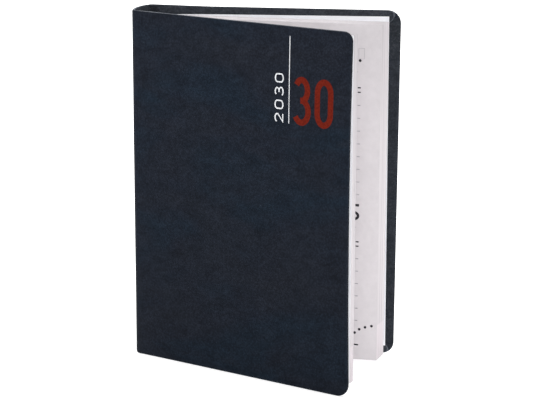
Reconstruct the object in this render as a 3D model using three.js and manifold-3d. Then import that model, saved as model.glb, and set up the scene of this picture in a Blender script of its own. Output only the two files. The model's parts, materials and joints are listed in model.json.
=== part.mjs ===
// A pocket diary: a case-bound book with a leatherette cover, standing on its tail edges, partly open.
// Each piece is drawn as it lies in the closed book, then turned about its own hinge line.
// In the closed book X runs from the spine to the fore edge, Y from the front to the back, Z from
// tail to head. Millimetres and degrees.
import * as THREE from 'three'
import { mergeVertices } from 'three/addons/utils/BufferGeometryUtils.js'
import Module from 'manifold-3d'

const wasm = await Module()
wasm.setup()

// The closed book, outside to outside.
const coverHeight = 120
const coverWidth = 85.5
const bookThickness = 14
const coverCornerRadius = 4
const coverEdgeRadius = 0.6
const spineWrap = 1.3
const spineRound = 1.85
const spineSegments = 12

// Sheets, boards and cloths.
const skinThickness = 0.32
const boardThickness = 0.8
const spineCardThickness = 0.6
const endpaperThickness = 0.12
const linerThickness = 0.15
const mullThickness = 0.25
const threadThickness = 0.3
const glueLine = 0.03

// How far the leatherette is turned in over the board, and how much of it the endpaper leaves bare.
const turnInWidth = 12
const pastedownHeadMargin = 2.1
const pastedownForeMargin = 3.3

// Gaps that the closed book keeps.
const hingeGap = 0.06
const boardJointWidth = 2.4
const hollowBackGap = 0.45
const endpaperGap = 0.08
const openingGap = 0.15

// The book block: folded sections sewn through the fold.
const headSquare = 2
const leafForeEdge = 81.75
const foreEdgeStep = 0.08
const frontSectionCount = 3
const rearSectionCount = 8
const frontBendDepth = 1
const rearBendDepth = 1.6
const backLiningInset = 0.6

// Sewing stations up the back of the block, and the small cloth bands at its two ends.
const stitchRowCount = 4
const stitchSink = 0.1
const bandBeadHeight = 1.3
const bandSkirtHeight = 8
const bandCover = 1.4

// How far the book is open: each angle is measured from that piece's place in the closed book.
const frontCoverAngle = 10.95
const backCoverAngle = 12.4
const frontLeavesAngle = 7.97
const rearLeavesAngle = 10.11

const leatherette = new THREE.MeshStandardMaterial({ color: 0x222a36, roughness: 0.6, metalness: 0 })
const greyboard = new THREE.MeshStandardMaterial({ color: 0x9a948a, roughness: 0.9, metalness: 0 })
const endpaper = new THREE.MeshStandardMaterial({ color: 0xe9ecf2, roughness: 0.85, metalness: 0 })
const pagePaper = new THREE.MeshStandardMaterial({ color: 0xdfd9dc, roughness: 0.85, metalness: 0 })
const lining = new THREE.MeshStandardMaterial({ color: 0xc9a878, roughness: 0.9, metalness: 0 })
const gauze = new THREE.MeshStandardMaterial({ color: 0xe6e2d6, roughness: 0.95, metalness: 0 })
const bandCloth = new THREE.MeshStandardMaterial({ color: 0x1b1e27, roughness: 0.85, metalness: 0 })
const thread = new THREE.MeshStandardMaterial({ color: 0xf0ede4, roughness: 0.8, metalness: 0 })

const radians = THREE.MathUtils.degToRad

// Depths through a cover, from its outer face inwards.
const boardFrom = skinThickness + glueLine
const boardTo = boardFrom + boardThickness
const turnInFrom = boardTo + glueLine
const turnInTo = turnInFrom + skinThickness
const pastedownFrom = turnInTo + glueLine
const coverThickness = pastedownFrom + endpaperThickness

// Depths through the spine, from its outer face inwards.
const spineCardFrom = skinThickness + glueLine
const spineCardTo = spineCardFrom + spineCardThickness
const spineTurnInTo = spineCardTo + glueLine + skinThickness
const linerFrom = spineTurnInTo + hollowBackGap
const mullFrom = linerFrom + linerThickness + glueLine
const stitchFrom = mullFrom + mullThickness + glueLine
const foldAt = stitchFrom + threadThickness + glueLine

// The thickness that is left for the leaves, shared among the sections.
const halfThickness = bookThickness / 2
const blockHalf = halfThickness - coverThickness - endpaperGap
const sectionCount = frontSectionCount + rearSectionCount
const flyleafStep = endpaperThickness + glueLine
const sectionStep = (2 * blockHalf - openingGap - 2 * flyleafStep + 2 * glueLine) / sectionCount
const sectionThickness = sectionStep - glueLine
const leafHeight = coverHeight - 2 * headSquare

function closedSolid(geometry) {
  const bare = geometry.index ? geometry.clone() : geometry
  bare.deleteAttribute('normal')
  bare.deleteAttribute('uv')
  const merged = mergeVertices(bare, 1e-5)
  const mesh = new wasm.Mesh({
    numProp: 3,
    vertProperties: new Float32Array(merged.attributes.position.array),
    triVerts: new Uint32Array(merged.index.array)
  })
  return new wasm.Manifold(mesh)
}

function solidGeometry(solid) {
  const mesh = solid.getMesh()
  const geometry = new THREE.BufferGeometry()
  geometry.setAttribute('position', new THREE.BufferAttribute(mesh.vertProperties, mesh.numProp))
  geometry.setIndex(new THREE.BufferAttribute(mesh.triVerts, 1))
  geometry.computeVertexNormals()
  return geometry
}

function piece(name, geometry, material) {
  const mesh = new THREE.Mesh(geometry, material)
  mesh.name = name
  return mesh
}

// A box between two corners.
function block(low, high) {
  const size = high.map((value, axis) => value - low[axis])
  const geometry = new THREE.BoxGeometry(size[0], size[1], size[2])
  geometry.translate(low[0] + size[0] / 2, low[1] + size[1] / 2, low[2] + size[2] / 2)
  return geometry
}

// A plan outline in X and Y, stood up from one height to another.
function upright(shape, bottom, top, curveSegments = 6) {
  const geometry = new THREE.ExtrudeGeometry(shape, {
    depth: top - bottom, bevelEnabled: false, curveSegments
  })
  geometry.translate(0, 0, bottom)
  return geometry
}

// An outline of a cover or sheet in X and Z, given a thickness from one depth to another,
// with its edges rounded over where an edge radius is given.
function sheet(shape, nearDepth, farDepth, edgeRadius = 0) {
  const geometry = new THREE.ExtrudeGeometry(shape, {
    depth: farDepth - nearDepth - 2 * edgeRadius,
    bevelEnabled: edgeRadius > 0,
    bevelThickness: edgeRadius,
    bevelSize: edgeRadius,
    bevelOffset: -edgeRadius,
    bevelSegments: 3,
    curveSegments: 8
  })
  geometry.rotateX(Math.PI / 2)
  geometry.translate(0, farDepth - edgeRadius, 0)
  return geometry
}

// A rectangle whose two corners at the fore edge are rounded.
function foreRoundedOutline(left, bottom, right, top, radius) {
  const shape = new THREE.Shape()
  shape.moveTo(left, bottom)
  shape.lineTo(right - radius, bottom)
  shape.absarc(right - radius, bottom + radius, radius, -Math.PI / 2, 0, false)
  shape.absarc(right - radius, top - radius, radius, 0, Math.PI / 2, false)
  shape.lineTo(left, top)
  shape.closePath()
  return shape
}

// Leatherette over one board: outer face, rounded edges, and a flap turned in on three sides.
// It is open to the spine, where the joint is.
function coverSkin() {
  const start = spineWrap + hingeGap
  const beyond = start - coverCornerRadius
  const slab = foreRoundedOutline(beyond, 0, coverWidth, coverHeight, coverCornerRadius)
  const wrapped = closedSolid(sheet(slab, 0, turnInTo, coverEdgeRadius))
  const spineSide = closedSolid(block([beyond - 1, -1, -1], [start, turnInTo + 1, coverHeight + 1]))
  const pocketOutline = foreRoundedOutline(
    start - 1, skinThickness, coverWidth - skinThickness, coverHeight - skinThickness,
    coverCornerRadius - skinThickness
  )
  const pocket = closedSolid(sheet(pocketOutline, skinThickness, turnInFrom))
  const opening = closedSolid(block(
    [start - 1, boardTo, turnInWidth],
    [coverWidth - turnInWidth, turnInTo + 1, coverHeight - turnInWidth]
  ))
  return solidGeometry(wrapped.subtract(spineSide).subtract(pocket).subtract(opening))
}

function coverBoard() {
  const edge = skinThickness + glueLine
  const outline = foreRoundedOutline(
    boardJointWidth, edge, coverWidth - edge, coverHeight - edge, coverCornerRadius - edge
  )
  return sheet(outline, boardFrom, boardTo)
}

// The pasted half of an endpaper: flat over the turned-in leatherette, pressed down to the board
// in the space that the turn-ins leave.
function pastedown() {
  const left = boardJointWidth
  const right = coverWidth - pastedownForeMargin
  const low = pastedownHeadMargin
  const high = coverHeight - pastedownHeadMargin
  const rim = closedSolid(block([left, pastedownFrom, low], [right, coverThickness, high]))
  const sunkRight = coverWidth - turnInWidth - glueLine
  const sunkLow = turnInWidth + glueLine
  const sunkHigh = coverHeight - turnInWidth - glueLine
  const sunk = closedSolid(block([left, turnInFrom, sunkLow], [sunkRight, coverThickness, sunkHigh]))
  const hollow = closedSolid(block(
    [left - 1, turnInFrom + endpaperThickness, sunkLow + endpaperThickness],
    [sunkRight - endpaperThickness, coverThickness + 1, sunkHigh - endpaperThickness]
  ))
  return solidGeometry(rim.add(sunk).subtract(hollow))
}

function coverPieces(side) {
  const cover = new THREE.Group()
  cover.add(piece(`${side}_cover_skin`, coverSkin(), leatherette))
  cover.add(piece(`${side}_board`, coverBoard(), greyboard))
  cover.add(piece(`${side}_pastedown`, pastedown(), endpaper))
  return cover
}

// One folded section of the block, in plan: a rounded fold at the spine, a square fore edge.
function sectionOutline(left, right, near, far) {
  const radius = (far - near) / 2
  const shape = new THREE.Shape()
  shape.moveTo(right, near)
  shape.lineTo(right, far)
  shape.lineTo(left + radius, far)
  shape.absarc(left + radius, near + radius, radius, Math.PI / 2, Math.PI * 1.5, false)
  shape.closePath()
  return shape
}

// One half of the opened block: the loose half of an endpaper on the outside, then the sections,
// counted from the cover towards the opening. The bend line is at the origin.
function leafPieces(side, count, bendDepth, nameSection) {
  const leaves = new THREE.Group()
  const left = -bendDepth
  const opened = leafForeEdge - foldAt - bendDepth
  const flyleafRight = opened + (count - 1) * foreEdgeStep
  const flyleaf = block([left, 0, headSquare], [flyleafRight, endpaperThickness, headSquare + leafHeight])
  leaves.add(piece(`${side}_flyleaf`, flyleaf, endpaper))
  for (let index = 0; index < count; index += 1) {
    const near = flyleafStep + index * sectionStep
    const right = opened + (count - 1 - index) * foreEdgeStep
    const outline = sectionOutline(left, right, near, near + sectionThickness)
    const section = upright(outline, headSquare, headSquare + leafHeight)
    leaves.add(piece(nameSection(index), section, pagePaper))
  }
  return leaves
}

function sectionName(number) {
  return `section_${String(number).padStart(2, '0')}`
}

// In plan, everything inside a depth of the rounded spine: half an ellipse that meets the covers
// square on, with a mouth that reaches on towards the leaves.
function spineOutline(depth, mouth) {
  const half = halfThickness - depth
  const outline = new THREE.Shape()
  outline.moveTo(spineWrap + mouth, -half)
  outline.lineTo(spineWrap + mouth, half)
  outline.absellipse(spineWrap, 0, spineWrap + spineRound - depth, half, Math.PI / 2, Math.PI * 1.5, false)
  outline.closePath()
  return outline
}

function insideSpine(depth, mouth, bottom, top) {
  return closedSolid(upright(spineOutline(depth, mouth), bottom, top, spineSegments))
}

// A curved sheet between two depths of the spine, as wide as twice the half given.
function spineSheet(near, far, half, bottom, top) {
  const strip = closedSolid(block([-spineRound - 1, -half, bottom - 1], [spineWrap + 1, half, top + 1]))
  return insideSpine(near, 0, bottom, top).subtract(insideSpine(far, 1, bottom - 1, top + 1)).intersect(strip)
}

// The leatherette on the spine: a rounded back, turned in at head and tail.
function spineSkin() {
  const flapHalf = halfThickness - spineTurnInTo - hingeGap
  const flap = (bottom, top) => spineSheet(spineCardTo + glueLine, spineTurnInTo, flapHalf, bottom, top)
  return solidGeometry(insideSpine(0, 0, 0, coverHeight)
    .subtract(insideSpine(skinThickness, 1, skinThickness, coverHeight - skinThickness))
    .subtract(insideSpine(spineTurnInTo, 1, -1, coverHeight + 1))
    .add(flap(skinThickness / 2, turnInWidth))
    .add(flap(coverHeight - turnInWidth, coverHeight - skinThickness / 2)))
}

// A zigzag of thread over the folds at one sewing station.
function stitchRow(height) {
  const half = blockHalf - backLiningInset
  const lane = stitchFrom + threadThickness / 2
  const points = []
  for (let turn = 0; turn <= sectionCount; turn += 1) {
    const sideways = -half + (2 * half * turn) / sectionCount
    points.push(new THREE.Vector3(lane, sideways, height + (turn % 2 ? stitchSink : -stitchSink)))
  }
  const section = new THREE.Shape()
  section.absarc(0, 0, threadThickness / 2, 0, Math.PI * 2, false)
  return new THREE.ExtrudeGeometry(section, {
    steps: 2 * sectionCount,
    curveSegments: 3,
    bevelEnabled: false,
    extrudePath: new THREE.CatmullRomCurve3(points)
  })
}

// The cloth band at one end of the block: a bead just clear of the leaves, and a skirt stuck to the
// backs of the folds. It is drawn for the head, in X and Z.
function endBand() {
  const half = blockHalf - backLiningInset
  const leafTop = coverHeight - headSquare
  const seat = leafTop + glueLine
  const outline = new THREE.Shape()
  outline.moveTo(stitchFrom, leafTop - bandSkirtHeight)
  outline.lineTo(stitchFrom + threadThickness, leafTop - bandSkirtHeight)
  outline.lineTo(stitchFrom + threadThickness, seat)
  outline.lineTo(foldAt + bandCover, seat)
  outline.absarc(foldAt + bandCover, seat + bandBeadHeight / 2, bandBeadHeight / 2, -Math.PI / 2, Math.PI / 2, false)
  outline.lineTo(stitchFrom, seat + bandBeadHeight)
  outline.closePath()
  return sheet(outline, -half, half)
}

function spinePieces() {
  const spine = new THREE.Group()
  const cardHalf = halfThickness - spineWrap
  const cardEdge = skinThickness + glueLine
  const card = spineSheet(spineCardFrom, spineCardTo, cardHalf, cardEdge, coverHeight - cardEdge)
  const liningHalf = blockHalf - backLiningInset
  const lowEnd = headSquare + backLiningInset
  const highEnd = coverHeight - lowEnd
  const liner = block([linerFrom, -liningHalf, lowEnd], [linerFrom + linerThickness, liningHalf, highEnd])
  const mull = block([mullFrom, -liningHalf, lowEnd], [mullFrom + mullThickness, liningHalf, highEnd])
  spine.add(piece('spine_skin', spineSkin(), leatherette))
  spine.add(piece('spine_card', solidGeometry(card), greyboard))
  spine.add(piece('spine_liner', liner, lining))
  spine.add(piece('mull', mull, gauze))
  for (let row = 0; row < stitchRowCount; row += 1) {
    const height = (coverHeight * (row + 1)) / (stitchRowCount + 1)
    spine.add(piece(`stitch_row_${row + 1}`, stitchRow(height), thread))
  }
  spine.add(piece('head_band', endBand(), bandCloth))
  const tailBand = piece('tail_band', endBand(), bandCloth)
  tailBand.rotation.x = Math.PI
  tailBand.position.z = coverHeight
  spine.add(tailBand)
  return spine
}

// The front pieces turn towards -Y from their hinge line. What is drawn for the front is turned
// head over tail for the back, and turns towards +Y.
function frontSide(content, hinge, angle) {
  const turned = new THREE.Group()
  turned.position.set(hinge[0], -hinge[1], 0)
  turned.rotation.z = -radians(angle)
  turned.add(content)
  return turned
}

function backSide(content, hinge, angle) {
  const turned = new THREE.Group()
  turned.position.set(hinge[0], hinge[1], 0)
  turned.rotation.z = radians(angle)
  content.rotation.x = Math.PI
  content.position.z = coverHeight
  turned.add(content)
  return turned
}

const coverHinge = [0, halfThickness]
const frontBend = [foldAt + frontBendDepth, blockHalf]
const rearBend = [foldAt + rearBendDepth, blockHalf]
const frontLeaves = leafPieces('front', frontSectionCount, frontBendDepth, (index) => sectionName(index + 1))
const rearLeaves = leafPieces('back', rearSectionCount, rearBendDepth, (index) => sectionName(sectionCount - index))

const book = new THREE.Group()
book.add(spinePieces())
book.add(frontSide(coverPieces('front'), coverHinge, frontCoverAngle))
book.add(frontSide(frontLeaves, frontBend, frontLeavesAngle))
book.add(backSide(coverPieces('back'), coverHinge, backCoverAngle))
book.add(backSide(rearLeaves, rearBend, rearLeavesAngle))

// The back cover lies along X, and the middle of the whole footprint is at the origin.
book.rotation.z = -radians(backCoverAngle)
const diary = new THREE.Group()
diary.add(book)
diary.updateMatrixWorld(true)
const middle = new THREE.Box3().setFromObject(diary, true).getCenter(new THREE.Vector3())
book.position.set(-middle.x, -middle.y, 0)
diary.updateMatrixWorld(true)

export default diary
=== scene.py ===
# A pocket diary standing partly open on its tail edges: leatherette case, endpapers, sewn leaves, foil.
import json
import math
import random

import bpy
from mathutils import Matrix, Vector, noise


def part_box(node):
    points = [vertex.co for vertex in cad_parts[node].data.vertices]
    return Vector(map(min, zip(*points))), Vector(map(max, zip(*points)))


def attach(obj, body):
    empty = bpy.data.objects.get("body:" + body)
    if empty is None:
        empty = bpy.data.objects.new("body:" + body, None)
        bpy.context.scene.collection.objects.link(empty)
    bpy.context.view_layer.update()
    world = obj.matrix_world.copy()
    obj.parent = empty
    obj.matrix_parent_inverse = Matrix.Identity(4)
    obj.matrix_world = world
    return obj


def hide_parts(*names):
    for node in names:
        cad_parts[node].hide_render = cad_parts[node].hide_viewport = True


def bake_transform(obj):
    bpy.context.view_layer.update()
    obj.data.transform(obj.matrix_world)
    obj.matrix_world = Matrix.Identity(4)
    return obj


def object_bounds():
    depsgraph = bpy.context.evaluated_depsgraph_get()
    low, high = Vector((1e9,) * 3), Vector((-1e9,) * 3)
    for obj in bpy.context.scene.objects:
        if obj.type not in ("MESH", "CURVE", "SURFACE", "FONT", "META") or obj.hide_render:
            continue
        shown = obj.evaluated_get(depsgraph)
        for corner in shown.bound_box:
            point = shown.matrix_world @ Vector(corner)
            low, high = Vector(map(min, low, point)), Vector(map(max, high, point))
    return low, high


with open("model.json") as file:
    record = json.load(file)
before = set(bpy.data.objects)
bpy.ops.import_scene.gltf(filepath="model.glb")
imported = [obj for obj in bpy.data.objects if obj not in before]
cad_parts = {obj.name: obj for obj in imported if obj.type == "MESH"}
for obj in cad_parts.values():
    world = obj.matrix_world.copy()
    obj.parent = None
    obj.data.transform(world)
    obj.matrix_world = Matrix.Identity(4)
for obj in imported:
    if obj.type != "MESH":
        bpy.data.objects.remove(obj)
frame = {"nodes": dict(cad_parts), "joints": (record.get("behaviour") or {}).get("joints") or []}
cadLow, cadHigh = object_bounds()
mm = 0.001
random.seed(12)


# The closed book. X runs from the spine to the fore edge and Y from the front to the back, in mm.
# Hinge lines and rest angles come from the frame, and each piece is built bent at them.

joints = {joint["name"]: joint for joint in frame["joints"]}


def hingePoint(name):
    return Vector(joints[name]["pos_m"][:2]) / mm


def restAngle(name):
    return -math.radians(joints[name]["range_deg"][0])


frontCorner = hingePoint("front_cover_hinge")
backCorner = hingePoint("back_cover_hinge")
spineMiddle = (frontCorner + backCorner) / 2
backward = (backCorner - frontCorner).normalized()
inward = Vector((backward.y, -backward.x))

book = {
    "height": cadHigh.z / mm,
    "width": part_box("back_cover_skin")[1].x / mm - backCorner.x,
    "half": (backCorner - frontCorner).length / 2,
    "spineWrap": 1.3,
    "spineRound": 1.85,
    "skin": 0.32,
    "coverDepth": 1.5,
    "jointDepth": 0.72,
    "spineDepth": 1.3,
    "boardEdge": 2.5,
    "turnIn": 12.0,
    "edgeRadius": 0.62,
    "jointFrom": 0.15,
    "jointTo": 2.7,
    "grooveEnd": 1.7,
    "grooveSlope": 1.3,
    "headRise": 0.32,
    "riseFade": 22.0,
}
# The case was made by hand, so corners differ and the back board is a little high and out of square.
# Each pair is for the tail and then the head: corner radii, and how far the fore edge is lifted and
# stands out.
covers = {
    "front": {
        "way": -1, "angle": restAngle("front_cover_hinge"), "body": "front_cover", "bulge": 1.3,
        "lift": (0.0, 0.0), "reach": (0.0, 0.0), "corners": (4.4, 3.3),
    },
    "back": {
        "way": 1, "angle": restAngle("back_cover_hinge"), "body": "back_cover", "bulge": 0.0,
        "lift": (0.95, 0.55), "reach": (-0.13, 0.4), "corners": (4.0, 4.5),
    },
}


def smooth(value):
    value = min(1.0, max(0.0, value))
    return value * value * (3 - 2 * value)


def spread(first, last, count):
    return [first + (last - first) * i / count for i in range(count + 1)]


def closedPlace(point):
    away = point - spineMiddle
    return Vector((away.dot(inward), away.dot(backward)))


def inRow(x, y, z):
    plan = spineMiddle + inward * x + backward * y
    return Vector((plan.x, plan.y, z)) * mm


def turned(x, y, pivot, angle):
    awayX, awayY = x - pivot[0], y - pivot[1]
    c, s = math.cos(angle), math.sin(angle)
    return pivot[0] + awayX * c - awayY * s, pivot[1] + awayX * s + awayY * c


def jointShare(x):
    return smooth((x - book["jointFrom"]) / (book["jointTo"] - book["jointFrom"]))


def boardShare(x):
    # The groove beside the spine ends where the board begins.
    return smooth((x - book["grooveEnd"]) / book["grooveSlope"])


def onJoint(side, x, y, z, share):
    way, angle = covers[side]["way"], covers[side]["angle"]
    return inRow(*turned(x, y, (0, way * book["half"]), way * angle * share), z)


def jointRise(y, z):
    # The head of the case climbs from the front joint to the back one.
    return book["headRise"] * (y + book["half"]) / (2 * book["half"]) * z / book["height"]


def onCover(side, x, depth, z):
    # The front board has bowed a little: the middle of its fore edge stands proud of the corners.
    cover = covers[side]
    across = min(1.0, max(0.0, x / book["width"]))
    up = z / book["height"]
    depth -= cover["bulge"] * across ** 2 * (1 - (2 * up - 1) ** 2)
    lift, reach = [across * (tail + (head - tail) * up) for tail, head in (cover["lift"], cover["reach"])]
    if side == "back":
        lift += jointRise(book["half"], z) * smooth(1 - x / book["riseFade"])
    y = cover["way"] * (book["half"] - depth)
    return onJoint(side, x + reach, y, z + lift, jointShare(x))


def spinePoint(turn, depth):
    # The rounded spine in plan: turn is 0 where it meets a cover and a quarter turn at its middle.
    reach = book["spineWrap"] + book["spineRound"] - depth
    return book["spineWrap"] - reach * math.sin(turn), (book["half"] - depth) * math.cos(turn)


def spineTravel(turn):
    # Length of leatherette between this turn and the middle of the spine.
    places = [spinePoint(t, 0) for t in spread(turn, math.pi / 2, 40)]
    return sum(math.dist(first, second) for first, second in zip(places, places[1:]))


halfSpineLength = spineTravel(0)


def sheetPlace(x):
    return halfSpineLength + x - book["spineWrap"]


# Leaves bend from the fold outwards, each stack round its own line. Each section is eight sheets folded
# once, so that it shows sixteen leaves at the fore edge.

leaf = {
    "bendLength": 9.0, "foreEdge": 81.75,
    "flyleafStep": 0.15, "sectionStep": 0.9227, "sectionThickness": 0.8927,
}
leafCut = {
    "low": 2.0, "high": 117.4, "sheets": 8, "pitch": 0.0558, "paper": 0.0535, "ragged": 0.05,
    "straight": [62, 44, 26, 14, 9.0, 7.6, 6.3, 5.1, 4.0, 3.0, 2.1, 1.3, 0.8],
}
stacks = {
    "front": {
        "way": -1, "joint": "front_leaves_bend", "body": "front_leaves",
        "reach": 0.95, "step": 0.08, "lift": 0.55, "sections": range(1, 4),
    },
    "back": {
        "way": 1, "joint": "back_leaves_bend", "body": "back_leaves",
        "reach": 0.0, "step": 0.165, "lift": 0.0, "sections": range(11, 3, -1),
    },
}
foldToPivot = 1.0
for stack in stacks.values():
    stack["pivot"] = closedPlace(hingePoint(stack["joint"]))
    stack["angle"] = restAngle(stack["joint"])
blockHalf = abs(stacks["front"]["pivot"].y)
foldAt = stacks["front"]["pivot"].x - foldToPivot


def onLeaf(side, u, depth, z):
    # u runs from the fold, and depth from the outermost leaf of the stack to the opening.
    stack = stacks[side]
    angle = stack["way"] * stack["angle"] * smooth(u / leaf["bendLength"])
    plan = turned(foldAt + u, stack["way"] * (blockHalf - depth), stack["pivot"], angle)
    return inRow(*plan, z + stack["lift"] * u / leaf["foreEdge"])


# Meshes.


def newObject(name, points, faces, uvs, material, soft=True):
    mesh = bpy.data.meshes.new(name)
    mesh.from_pydata(points, [], faces)
    layer = mesh.uv_layers.new(name="flat")
    for loop in mesh.loops:
        layer.data[loop.index].uv = uvs[loop.vertex_index]
    for polygon in mesh.polygons:
        polygon.use_smooth = soft
    mesh.materials.append(material)
    mesh.validate()
    thing = bpy.data.objects.new(name, mesh)
    bpy.context.collection.objects.link(thing)
    return thing


def addSlab(build, near, far, uvs, flip=False):
    # A closed sheet between two grids of points, near being the face that is seen.
    points, faces, flat = build
    start = len(points)
    rows, cols = len(near), len(near[0])
    for grid in (near, far):
        for i in range(rows):
            for j in range(cols):
                points.append(grid[i][j])
                flat.append(uvs[i][j])
    layer = rows * cols

    def corner(i, j, level):
        return start + level * layer + i * cols + j

    made = []
    for i in range(rows - 1):
        for j in range(cols - 1):
            made.append((corner(i, j, 0), corner(i + 1, j, 0), corner(i + 1, j + 1, 0), corner(i, j + 1, 0)))
            made.append((corner(i, j, 1), corner(i, j + 1, 1), corner(i + 1, j + 1, 1), corner(i + 1, j, 1)))
    border = [(i, 0) for i in range(rows)] + [(rows - 1, j) for j in range(1, cols)]
    border += [(i, cols - 1) for i in range(rows - 2, -1, -1)] + [(0, j) for j in range(cols - 2, 0, -1)]
    for first, second in zip(border, border[1:] + border[:1]):
        made.append((corner(*first, 0), corner(*first, 1), corner(*second, 1), corner(*second, 0)))
    faces.extend([face[::-1] for face in made] if flip else made)


def newSheet(name, near, far, uvs, material, flip):
    build = ([], [], [])
    addSlab(build, near, far, uvs, flip)
    return newObject(name, *build, material)


# Materials.


def hexColour(code, alpha=1.0):
    parts = [int(code[i:i + 2], 16) / 255 for i in (1, 3, 5)]
    return (*[p / 12.92 if p <= 0.04045 else ((p + 0.055) / 1.055) ** 2.4 for p in parts], alpha)


def addNode(tree, kind, settings=None, links=None):
    # settings: attribute or socket values and a ramp's stops; links: input name to output socket.
    node = tree.nodes.new(kind)
    for key, value in (settings or {}).items():
        if key == "stops":
            marks = node.color_ramp.elements
            while len(marks) < len(value):
                marks.new(0.5)
            for mark, (place, colour) in zip(marks, value):
                mark.position = place
                mark.color = hexColour(colour)
        elif isinstance(key, str) and hasattr(node, key):
            setattr(node, key, value)
        else:
            node.inputs[key].default_value = value
    for key, source in (links or {}).items():
        tree.links.new(source, node.inputs[key])
    return node


def newMaterial(name):
    material = bpy.data.materials.new(name)
    material.use_nodes = True
    tree = material.node_tree
    tree.nodes.clear()
    output = addNode(tree, "ShaderNodeOutputMaterial")
    return material, tree, output


def leatherette():
    # Polyurethane leatherette on cloth, embossed with a fine pebble grain and rubbed unevenly: a dull
    # navy sheet with soft cross bands, a fibrous mottle over them and a few pale flecks. Painted light is
    # added too: the sheet is painted lighter towards the head, as painted light from above, with a painted
    # sheen where it turns round the edges of the boards, stronger on the head and tail strips, and a painted
    # highlight along the rims at the head and the tail. Sizes are in mm, and colours run along the pattern
    # that they name.
    finish = {
        "patterns": {
            "band": {"size": 24.0, "across": 0.4, "Detail": 4.0, "Roughness": 0.55, "Distortion": 0.4},
            "mottle": {"size": 4.2, "across": 0.6, "Detail": 7.0, "Roughness": 0.75, "Distortion": 0.6},
            "fleck": {"size": 1.1, "across": 1.0, "Detail": 2.0},
            "grain": {"size": 0.55, "across": 1.0, "Randomness": 0.9, "feature": "SMOOTH_F1"},
            "pore": {"size": 1.5, "across": 1.0, "Detail": 4.0, "Roughness": 0.6},
        },
        "colours": {
            "banded": ("band", [(0.3, "#2f333d"), (0.5, "#2b313d"), (0.62, "#273341"), (0.75, "#353a45")]),
            "rubbed": ("mottle", [(0.28, "#a4a8ac"), (0.42, "#c8cacd"), (0.58, "#e4e5e6"),
                                  (0.75, "#ffffff")]),
            "embossed": ("grain", [(0.0, "#ffffff"), (0.25, "#dcdcdc"), (0.6, "#b8b8b8")]),
            "dusty": ("fleck", [(0.76, "#000000"), (0.82, "#2c3238")]),
            # The next two colours are a painted sheen on the turned-in strips, paler on the head and tail
            # strips.
            "sheenFore": ("band", [(0.3, "#45494f"), (0.7, "#4b4f57")]),
            "sheenEnds": ("band", [(0.3, "#565a61"), (0.7, "#5c6169")]),
            # A painted highlight along the rims at the head and the tail.
            "rimHighlight": ("mottle", [(0.35, "#6c727c"), (0.6, "#888d96")]),
        },
        # The tones range paints the sheet lighter towards the head, as painted light falling from above.
        "tones": (0.86, 1.1), "roughness": (0.5, 0.66), "grainDepth": 0.035, "grainShare": 0.8,
        # The next range sets where the painted sheen round the board edges begins and ends; the rim values
        # place the painted highlight.
        "sheenSpan": (-0.4, 1.6), "rimOut": 0.45, "rimHalf": 0.4,
    }
    material, tree, output = newMaterial("embossedLeatherette")
    flat = addNode(tree, "ShaderNodeUVMap", {"uv_map": "flat"}).outputs["UV"]
    apart = addNode(tree, "ShaderNodeSeparateXYZ", {}, {"Vector": flat})

    pattern = {}
    for name, values in finish["patterns"].items():
        each = 1 / (values["size"] * mm)
        settings = {"Scale": 1.0, **values}
        scale = (settings.pop("across") * each, each, each)
        settings.pop("size")
        place = addNode(tree, "ShaderNodeMapping", {"Scale": scale}, {"Vector": flat}).outputs["Vector"]
        kind = "ShaderNodeTexVoronoi" if name == "grain" else "ShaderNodeTexNoise"
        pattern[name] = addNode(tree, kind, settings, {"Vector": place}).outputs[0]
    colours = {}
    for name, (source, stops) in finish["colours"].items():
        ramp = addNode(tree, "ShaderNodeValToRGB", {"stops": stops}, {"Fac": pattern[source]})
        colours[name] = ramp.outputs["Color"]

    # How far a place lies from the middle of the sheet, across and along, tells where it is folded.
    middles = {"X": 0.0, "Y": book["height"] / 2}
    edges = {"X": sheetPlace(book["width"]), "Y": book["height"] / 2}
    away, fold = {}, {}
    for axis, edge in edges.items():
        fromMiddle = addNode(tree, "ShaderNodeMath", {"operation": "SUBTRACT", 1: middles[axis] * mm},
                             {0: apart.outputs[axis]}).outputs[0]
        away[axis] = addNode(tree, "ShaderNodeMath", {"operation": "ABSOLUTE"}, {0: fromMiddle}).outputs[0]
        begin, full = [(edge + further) * mm for further in finish["sheenSpan"]]
        fold[axis] = addNode(tree, "ShaderNodeMapRange", {"From Min": begin, "From Max": full},
                             {"Value": away[axis]}).outputs["Result"]
    # Painted sheen: this mask marks the strips turned round the board edges.
    sheenMask = addNode(tree, "ShaderNodeMath", {"operation": "MAXIMUM"},
                        {0: fold["X"], 1: fold["Y"]}).outputs[0]
    # Painted highlight: a narrow band on the rounded rims at the head and the tail.
    rim = {"operation": "COMPARE", 1: (edges["Y"] + finish["rimOut"]) * mm, 2: finish["rimHalf"] * mm}
    onRim = addNode(tree, "ShaderNodeMath", rim, {0: away["Y"]}).outputs[0]
    # Painted light: the colour is scaled up from the tail to the head.
    tones = {"From Max": book["height"] * mm, "To Min": finish["tones"][0], "To Max": finish["tones"][1]}
    paintedHeadLight = addNode(tree, "ShaderNodeMapRange", tones, {"Value": apart.outputs["Y"]}).outputs["Result"]

    # The painted sheen is paler on the head and tail strips than on the fore edge strip.
    sheenTone = addNode(tree, "ShaderNodeMix", {"data_type": "RGBA"},
                   {0: fold["Y"], 6: colours["sheenFore"], 7: colours["sheenEnds"]}).outputs[2]
    colour = colours["banded"]
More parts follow.
